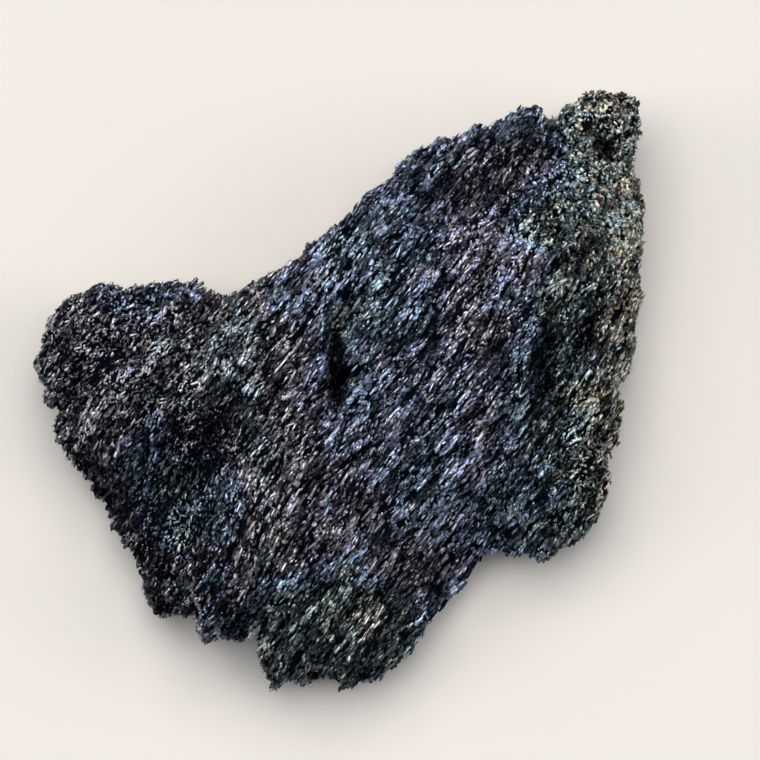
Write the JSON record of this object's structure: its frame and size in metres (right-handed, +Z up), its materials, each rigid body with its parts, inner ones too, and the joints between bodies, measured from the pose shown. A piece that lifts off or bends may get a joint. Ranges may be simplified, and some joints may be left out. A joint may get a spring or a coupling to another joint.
{
  "type": "silicon carbide chunk",
  "caption": "Craggy dark chunk of furnace-grown silicon carbide, skinned with fine aligned crystal blades, lying on its flattest broken side.",
  "frame": {"origin": "middle of the chunk's bounding box in plan, on the flat face that it rests on", "axes": "+Z up from the resting face, +Y towards the far end of the long lobe, +X to the right as seen from above with +Y away"},
  "size_m": [0.1096, 0.1088, 0.0474],
  "materials": {
    "silicon_carbide": "near-black crystal blades with a glassy to half-metallic lustre and a thin bluish to violet tarnish"
  },
  "bodies": {
    "root": {"silicon_carbide_chunk": "silicon_carbide"}
  },
  "joints": []
}
